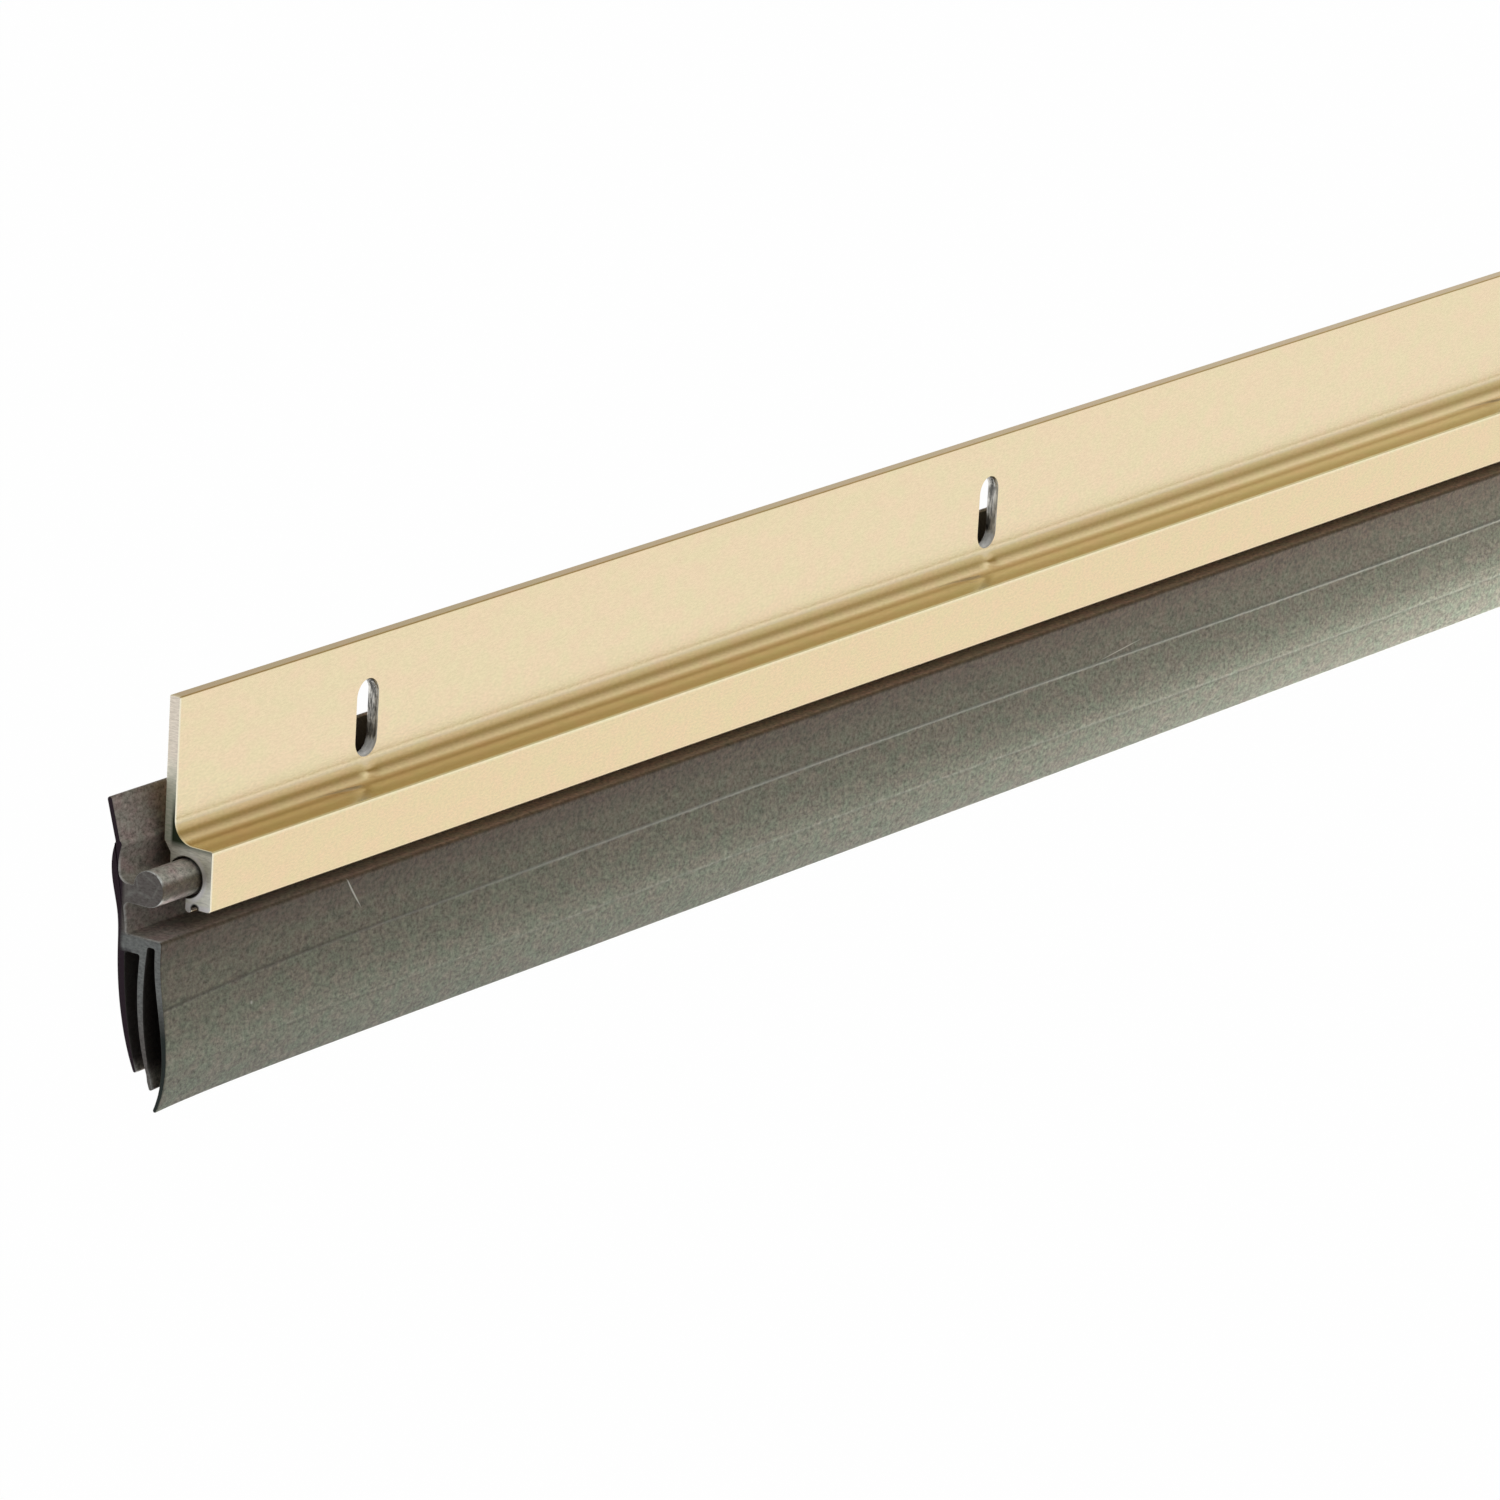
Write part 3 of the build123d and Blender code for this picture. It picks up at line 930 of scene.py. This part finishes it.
def punched_aluminium(settings):
    """The walls of the punched slots: torn bare metal in light and dark streaks, an even grey at the front
    rim, and a painted highlight on the slot's foot, near white and matte where a glint would be.
    """
    material, nodes = new_material("punched_aluminium")
    torn = nodes.noise((2000, 2000, 420), 4, 0.6)
    streak = nodes.between(torn, 0.42, 0.58)
    colour = nodes.mix(streak, shade(settings.bare, 0.2), shade(settings.bare, 1.1))
    _, y, z = nodes.parts()
    # Painted highlight: the slot's foot is near white and not metallic, standing in for a glint.
    foot = nodes.falls(z, -3.6, -2.9)
    colour = nodes.mix(foot, colour, SLOT_FOOT_PAINTED_HIGHLIGHT)
    rim = nodes.falls(y, FLANGE_FRONT + 0.1, FLANGE_FRONT + 0.3, most=0.7)
    colour = nodes.mix(rim, colour, SLOT_RIM)
    inputs = {"Metallic": nodes.math("SUBTRACT", 1.0, foot), "Roughness": 0.34}
    finish_material(nodes, colour, torn, 0.7, 0.3, inputs)
    return material


def above_rib(nodes, x, z):
    """How far a place is above the front fin's rib, whose height is the one that rib_at gives."""
    turn = nodes.math("MULTIPLY", nodes.math("ADD", x, RIB_PEAK * MM), 2 * np.pi / (RIB_WAVE * MM))
    sway = nodes.math("MULTIPLY", nodes.math("COSINE", turn), RIB_SWAY * MM)
    far = nodes.rises(nodes.math("ABSOLUTE", x), RIB_SAG_FROM, RIB_SAG_TO)
    sag = nodes.math("MULTIPLY", far, far, RIB_SAG * MM)
    rib = nodes.math("ADD", nodes.math("SUBTRACT", sway, sag), RIB_HEIGHT * MM)
    return nodes.math("SUBTRACT", z, rib)


def matte_vinyl(settings, end):
    """Grey-brown vinyl with a sandy grain and a mottle of greener and redder patches. The front fin has
    painted shade and light down its face, a few light scuffs, and lines along its rib and groove that are
    dark near the ends and pale between them, the pale a painted highlight. The shelf under the gold head has
    painted reflected light, the bead a painted brightening, and the cut ends a pale burr that is partly a
    painted highlight. There is painted shade between the fins and on the flap's front behind the flange."""
    material, nodes = new_material("matte_vinyl")
    grain = nodes.noise((1500, 2000, 2000), 4, 0.75)
    patch = nodes.between(nodes.noise((420, 700, 700), 3), 0.36, 0.64)
    tone = nodes.between(grain, 0.32, 0.68)
    colour = nodes.mix(tone, shade(settings.vinyl, 0.42), shade(settings.vinyl, 1.55))
    colour = nodes.tinted(colour, nodes.mix(patch, REDDER_VINYL_TINT, GREENER_VINYL_TINT))
    x, y, z = nodes.parts()
    front = nodes.falls(y, -5.5, -5.2)
    # Painted shade and light down the front fin's face, from the shelf to the tip.
    down = nodes.between(z, SHELF_TOP * MM, (SHELF_TOP - FRONT_FIN_DROP) * MM)
    face = nodes.tinted(colour, nodes.ramp(down, FACE_PAINTED_SHADING))
    colour = nodes.mix(front, nodes.tinted(colour, BEHIND_FACE_TINT), face)
    away = nodes.math("ABSOLUTE", x)
    # Painted light: the shelf top in the shade under the head is lightened and warmed, as by light off the
    # gold.
    over = nodes.rises(z, SHELF_TOP - 0.3, SHELF_TOP - 0.1)
    under = nodes.falls(z, SHELF_TOP + 0.1, SHELF_TOP + 2.0)
    shelf = nodes.math("MULTIPLY", over, under, nodes.falls(away, 400, 445))
    colour = nodes.tinted(colour, SHELF_PAINTED_GOLD_LIGHT, shelf)
    above = above_rib(nodes, x, z)
    rib = nodes.falls(nodes.math("ABSOLUTE", above), 0.06, 0.3)
    above_groove = nodes.math("ADD", above, RIB_TO_GROOVE * MM)
    groove = nodes.falls(nodes.math("ABSOLUTE", above_groove), 0.06, 0.24, most=0.45)
    line = nodes.math("MULTIPLY", nodes.math("MAXIMUM", rib, groove), front, 0.5)
    # Dark lines near the cut ends; between them a painted highlight, as if rib and groove caught the light.
    line_dark_and_highlight = nodes.mix(nodes.falls(away, 380, 430), shade(settings.vinyl, 0.2), RIB_PAINTED_HIGHLIGHT)
    colour = nodes.mix(line, colour, line_dark_and_highlight)
    scuff = nodes.marks(SCUFFS, 1, SCUFF_Y, SCUFF_DEPTH, 0.6)
    colour = nodes.mix(nodes.math("MULTIPLY", scuff, 0.75), colour, SCUFF_PALE)
    # A pale band at the cut ends, partly real burr, partly a painted highlight of the cut edge.
    burr = nodes.math(
        "MULTIPLY",
        nodes.near_cut(end, 0.5),
        nodes.between(grain, 0.35, 0.55, 0.3, 1.2),
        nodes.math("SUBTRACT", 1.0, front),
        nodes.falls(z, -10.0, -8.0, least=0.1),
    )
    colour = nodes.mix(burr, colour, BURR_AND_HIGHLIGHT_PALE)
    # Painted light: the bead's surface is brightened, as if it were lit more strongly.
    bead = nodes.falls(nodes.distance(BEAD_CENTRE), BEAD_RADIUS + 0.05, BEAD_RADIUS + 0.25)
    colour = nodes.tinted(colour, BEAD_PAINTED_LIGHT_TINT, bead)
    # Painted shade: near black between the fins and on the flap's front behind the flange.
    painted_shade_share = nodes.add("ShaderNodeAttribute", attribute_name="painted_shade").outputs["Fac"]
    colour = nodes.mix(painted_shade_share, colour, PAINTED_SHADE_DARK)
    inputs = {"Roughness": settings.vinyl_roughness, "Specular IOR Level": 0.4}
    finish_material(nodes, colour, grain, 0.6, 0.2, inputs)
    return material


def cut_vinyl(settings):
    """The seal's cut ends: scuffed grey on the shelf and the two front fins, near black along the rear, with
    the blade's marks and a few light cuts across the bead."""
    material, nodes = new_material("cut_vinyl")
    marks = nodes.noise((900, 1700, 3600), 4, 0.65)
    tone = nodes.between(marks, 0.3, 0.7)
    colour = nodes.mix(tone, shade(settings.cut_vinyl, 0.7), shade(settings.cut_vinyl, 1.4))
    _, y, z = nodes.parts()
    below_top = nodes.falls(z, SHELF_TOP - 0.4, SHELF_TOP + 0.4)
    pale = nodes.math("MULTIPLY", below_top, nodes.rises(z, -31.0, -25.0, least=0.12))
    colour = nodes.mix(pale, colour, nodes.mix(tone, *CUT_FRONT_GREYS))
    leaf = nodes.math("MULTIPLY", nodes.falls(y, -5.2, -4.9), nodes.falls(z, -30.0, -25.0))
    colour = nodes.mix(leaf, colour, CUT_LEAF_DARK)
    cuts = nodes.marks(CUTS, 0, 0.0, 10000.0, 0.25)
    cuts = nodes.math("MULTIPLY", cuts, nodes.between(marks, 0.35, 0.62, 0.35, 0.85))
    colour = nodes.mix(cuts, colour, CUT_PALE)
    lean = nodes.math("MULTIPLY", nodes.math("ADD", z, REAR_FROM[1] * MM), -REAR_LEAN)
    behind_line = nodes.rises(nodes.math("ADD", y, lean), REAR_FROM[0], REAR_FROM[0] + 0.3)
    spine = nodes.rises(y, 0.1, 0.7)
    above_fins = nodes.rises(z, SHELF_REAR_BOTTOM - 0.1, SHELF_REAR_BOTTOM + 0.5)
    colour = nodes.mix(nodes.mix(above_fins, behind_line, spine), colour, CUT_REAR_DARK)
    finish_material(nodes, colour, marks, 0.5, 0.15, {"Roughness": 0.6, "Specular IOR Level": 0.2})
    return material


def painted_shade(section):
    """How deep in painted shade each point of the seal's section lies between the fins: 0 outside and at the
    tips, and rising to the full strength of the shade within 1.5 mm above them."""
    z = section[:, 1]
    tips = np.flatnonzero((z < np.roll(z, 1)) & (z <= np.roll(z, -1)) & (z < TIPS_BELOW))
    number = np.arange(len(z))
    between = (number > tips[0]) & (number < tips[-1])
    return PAINTED_SHADE_STRENGTH * between * np.clip((z - z[tips[-1]] - 0.2) / 1.5, 0, 1)


def end_steps(low, high):
    """Stations at both ends of a strip, close together, which carry the worn edge of each cut."""
    return [low, low + 0.03, low + 0.08, low + 0.3, high - 0.3, high - 0.08, high - 0.03, high]


def edge_wear(x, low, high, depth):
    """How far the outline draws in near a cut end: depth (1 - distance / depth) squared, up to depth away."""
    distance = np.minimum(x - low, high - x)
    return depth * np.clip(1 - distance / depth, 0, 1) ** 2


def bell(distance, spread):
    """A bell curve: exp(-distance squared / (2 spread squared))."""
    return np.exp(-(distance**2) / (2 * spread**2))


def rib_at(x):
    """The height of the front fin's rib: height + sway cos(2 pi (x + peak) / wave) - sag far squared, where
    far goes from 0 to 1 on the way from RIB_SAG_FROM to RIB_SAG_TO."""
    far = np.clip((np.abs(x) - RIB_SAG_FROM) / (RIB_SAG_TO - RIB_SAG_FROM), 0, 1)
    return RIB_HEIGHT + RIB_SWAY * np.cos((x + RIB_PEAK) * 2 * np.pi / RIB_WAVE) - RIB_SAG * far**2


def rib_and_groove(x, z):
    """How proud the front fin's face stands: proud exp(-(above / width) squared) at the rib, and half of that
    sunk at the groove, where above is the height over each of them."""
    above = z - rib_at(x)
    rib = np.exp(-((above / RIB_WIDTH) ** 2))
    groove = np.exp(-(((above + RIB_TO_GROOVE) / GROOVE_WIDTH) ** 2))
    return RIB_PROUD * (rib - 0.5 * groove)


class DOORSWEEP_OT_carrier(bpy.types.Operator):
    """Build the aluminium carrier strip with its screw slots"""

    bl_idname = "doorsweep.carrier"
    bl_label = "Carrier strip"

    def execute(self, context):
        settings = context.scene.doorsweep_carrier
        low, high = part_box("carrier")
        low, high = low.x / MM, high.x / MM
        count = settings.slots_each_side
        places = np.arange(-count, count + 1) * settings.slot_pitch / MM
        section = carrier_section()
        into = inward(section)
        near = bell(np.linalg.norm(section - DIMPLE_CENTRE, axis=1), DIMPLE_ROUND)

        def bend(x, y, z, point):
            beside = np.abs(x[..., None] - places).min(-1)
            deep = settings.dimple_depth / MM * bell(beside, DIMPLE_ALONG) * near[point]
            deep = deep + edge_wear(x, low, high, CARRIER_WEAR)
            return y + into[point, 0] * deep, z + into[point, 1] * deep

        stations = np.concatenate([(places[:, None] + BESIDE_SLOT).ravel(), end_steps(low, high)])
        materials = [gold_anodised(settings, high), sawn_aluminium(settings), punched_aluminium(settings)]
        carrier = carried("carrier_strip", section, np.sort(stations), bend, materials)
        cut_away(carrier, slot_cutter(settings.slot_width / MM, settings.slot_height / MM, places, materials))
        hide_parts("carrier")
        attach(carrier, "carrier")
        return {"FINISHED"}


class DOORSWEEP_OT_seal(bpy.types.Operator):
    """Build the vinyl seal with its three fins"""

    bl_idname = "doorsweep.seal"
    bl_label = "Vinyl seal"

    def execute(self, context):
        settings = context.scene.doorsweep_seal
        low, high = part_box("seal")
        low, high = low.x / MM, high.x / MM
        section = seal_section()
        into = inward(section)
        front = section[:, 0] < FRONT_FIN_BACK
        outer = (section[:, 0] < -5.0) & (into[:, 0] > 0.5) & (section[:, 1] < SHELF_TOP)
        down = np.clip((SHELF_FRONT_BOTTOM - section[:, 1]) / FRONT_FIN_DROP, 0, 1)

        def bend(x, y, z, point):
            distance = np.minimum(x - low, high - x)
            hang = settings.end_droop / MM * np.exp(-distance / (settings.droop_reach / MM))
            hang = hang * np.where(front[point], down[point] ** 1.5, 0)
            sway = sum(share * np.sin(x / wave + shift) for wave, shift, share in TIP_WAVES)
            long_wave, shift, share = LIFT_WAVE
            lift = np.sin(x / long_wave + shift) * share + share
            reach = settings.waviness / MM * down[point] ** 2
            wear = edge_wear(x, low, high, SEAL_WEAR) - rib_and_groove(x, z) * outer[point]
            y = y + reach * sway * 0.5 + into[point, 0] * wear
            z = z + reach * lift - hang + into[point, 1] * wear
            return y, z

        middle = np.linspace(low + 40, high - 40, 84)
        stations = np.sort(np.concatenate([end_steps(low, high), low + NEAR_END, high - NEAR_END, middle]))
        materials = [matte_vinyl(settings, high), cut_vinyl(settings)]
        seal = carried("vinyl_seal", section, stations, bend, materials)
        # Painted shade on the flap's front behind the flange, where the slots show it, and between the fins.
        behind_flange = PAINTED_SHADE_STRENGTH * np.clip((high - np.abs(stations) - PAINTED_SHADE_FROM) / PAINTED_SHADE_REACH, 0, 1)
        flap_front = np.arange(len(section)) < np.flatnonzero(section[:, 1] < NECK_TOP + 0.01)[0]
        dark = np.maximum(painted_shade(section)[None], behind_flange[:, None] * flap_front[None])
        painted_shade_share = seal.data.attributes.new("painted_shade", "FLOAT", "POINT")
        painted_shade_share.data.foreach_set("value", dark.astype(np.float32).ravel())
        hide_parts("seal")
        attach(seal, "seal")
        return {"FINISHED"}


def background_rays(nodes):
    """1 for rays from the camera and for mirrored or transmitted ones, 0 for matte light."""
    path = nodes.add("ShaderNodeLightPath")
    kinds = ("Is Camera Ray", "Is Glossy Ray", "Is Transmission Ray")
    return nodes.math("MAXIMUM", *[path.outputs[kind] for kind in kinds])


def make_floor(settings):
    """A large pale floor: nearly white to the camera, with a trace of shadow. In the metal it is white near
    the strip and a little dimmer from about a metre away."""
    material, nodes = new_material("pale_floor")
    matte = nodes.add("ShaderNodeBsdfDiffuse", {"Color": (*settings.pale, 1.0)})
    away = nodes.math("ABSOLUTE", nodes.parts()[1])
    mirrored = nodes.add("ShaderNodeLightPath").outputs["Is Glossy Ray"]
    dim = nodes.math("MULTIPLY", nodes.between(away, FLOOR_DIM_FROM, FLOOR_DIM_TO, 0.0, FLOOR_DIM), mirrored)
    white = nodes.add("ShaderNodeEmission", {"Strength": nodes.math("SUBTRACT", 1.0, dim)})
    share = nodes.math("MULTIPLY", background_rays(nodes), 0.99)
    both = nodes.add("ShaderNodeMixShader", {0: share, 1: matte.outputs[0], 2: white.outputs[0]})
    nodes.add("ShaderNodeOutputMaterial", {"Surface": both.outputs[0]})
    mesh = bpy.data.meshes.new("floor")
    half, z = FLOOR_HALF, -settings.floor_depth
    corners = [(-half, -half, z), (half, -half, z), (half, half, z), (-half, half, z)]
    mesh.from_pydata(corners, [], [(0, 1, 2, 3)])
    mesh.materials.append(material)
    floor = placed("floor", mesh)


def sky_ramp(nodes, angle, stops):
    """A sky that changes with the angle in the plane across the strip: each stop is (degrees, colour)."""
    share = nodes.between(angle, -np.pi, np.pi)
    return nodes.ramp(share, [(degrees / 360 + 0.5, colour) for degrees, colour in stops])


def make_world(settings):
    """White behind the object. In the metal the sky is a studio's: white low down, then a dim warm wall, and
    soft light again overhead, all of it brighter to the right. Matte light comes mostly from the front."""
    world = bpy.data.worlds.new("studio")
    bpy.context.scene.world = world
    world.use_nodes = True
    nodes = Nodes(world.node_tree)
    direction = nodes.add("ShaderNodeTexCoord").outputs["Generated"]
    parts = nodes.add("ShaderNodeSeparateXYZ", {0: direction})
    ahead = nodes.math("MULTIPLY", parts.outputs["Y"], -1.0)
    angle = nodes.math("ARCTAN2", parts.outputs["Z"], ahead)
    to_right = nodes.between(parts.outputs["X"], *SKY_CHANGE)
    sky = nodes.mix(to_right, sky_ramp(nodes, angle, SKY_LEFT), sky_ramp(nodes, angle, SKY_RIGHT))
    lit = nodes.add("ShaderNodeVectorMath", {0: direction, 1: MATTE_LIGHT}, operation="DOT_PRODUCT")
    weak, strong = (share * settings.ambient for share in MATTE_RANGE)
    strength = nodes.between(lit.outputs["Value"], 0.0, 0.9, weak, strong)
    matte = nodes.add("ShaderNodeCombineColor", {0: strength, 1: strength, 2: strength}).outputs[0]
    path = nodes.add("ShaderNodeLightPath")
    seen = nodes.math("MAXIMUM", path.outputs["Is Camera Ray"], path.outputs["Is Transmission Ray"])
    light = nodes.mix(path.outputs["Is Glossy Ray"], matte, sky)
    light = nodes.mix(seen, light, (1.0, 1.0, 1.0))
    back = nodes.add("ShaderNodeBackground", {"Color": light, "Strength": 1.0})
    nodes.add("ShaderNodeOutputWorld", {"Surface": back.outputs[0]})


def make_lamp(name, placing, power):
    """A square soft lamp at its place, turned to its target, which the metal doesn't mirror."""
    place, target, size = placing
    light = bpy.data.lights.new(name, "AREA")
    light.energy = power
    light.size = size
    lamp = placed(name, light)
    lamp.location = place
    lamp.rotation_euler = (Vector(target) - Vector(place)).to_track_quat("-Z", "Y").to_euler()
    lamp.visible_camera = False
    lamp.visible_glossy = False


class DOORSWEEP_OT_stage(bpy.types.Operator):
    """Build the floor, the lamps, the world and the camera"""

    bl_idname = "doorsweep.stage"
    bl_label = "Stage"

    def execute(self, context):
        scene = context.scene
        settings = scene.doorsweep_stage
        make_floor(settings)
        make_world(settings)
        make_lamp("key_lamp", KEY_LAMP, settings.key_power)
        make_lamp("fill_lamp", FILL_LAMP, settings.fill_power)
        right = Vector(CAMERA_RIGHT).normalized()
        forward = Vector(CAMERA_FORWARD).normalized()
        up = right.cross(forward).normalized()
        right = forward.cross(up)
        camera = bpy.data.cameras.new("camera")
        camera.lens = settings.lens
        camera.sensor_width = 36.0
        camera.clip_start, camera.clip_end = 0.05, 60.0
        eye = placed("camera", camera)
        turn = Matrix((right, up, -forward)).transposed().to_4x4()
        eye.matrix_world = Matrix.Translation(CAMERA_PLACE) @ turn
        scene.camera = eye
        scene.view_settings.view_transform = "Standard"
        return {"FINISHED"}


class DOORSWEEP_PT_panel(bpy.types.Panel):
    """Lists the sweep's pieces and their settings"""

    bl_idname = "DOORSWEEP_PT_panel"
    bl_label = "Door Sweep"
    bl_space_type = "VIEW_3D"
    bl_region_type = "UI"
    bl_category = "Door Sweep"

    def draw(self, context):
        for operator, group in STEPS:
            box = self.layout.box()
            box.operator(operator.bl_idname)
            settings = getattr(context.scene, group)
            for name in settings.__annotations__:
                box.prop(settings, name)


STEPS = [
    (DOORSWEEP_OT_stage, "doorsweep_stage"),
    (DOORSWEEP_OT_carrier, "doorsweep_carrier"),
    (DOORSWEEP_OT_seal, "doorsweep_seal"),
]
GROUPS = {
    "doorsweep_carrier": CarrierSettings,
    "doorsweep_seal": SealSettings,
    "doorsweep_stage": StageSettings,
}
CLASSES = [*GROUPS.values(), *[operator for operator, _ in STEPS], DOORSWEEP_PT_panel]


def register():
    """Adds the classes and their settings to Blender."""
    for cls in CLASSES:
        bpy.utils.register_class(cls)
    for name, group in GROUPS.items():
        setattr(bpy.types.Scene, name, bpy.props.PointerProperty(type=group))


def unregister():
    """Takes the classes and their settings out again."""
    for name in GROUPS:
        delattr(bpy.types.Scene, name)
    for cls in reversed(CLASSES):
        bpy.utils.unregister_class(cls)


def main():
    """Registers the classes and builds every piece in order."""
    register()
    bpy.ops.doorsweep.stage()
    bpy.ops.doorsweep.carrier()
    bpy.ops.doorsweep.seal()


if __name__ == "__main__":
    main()
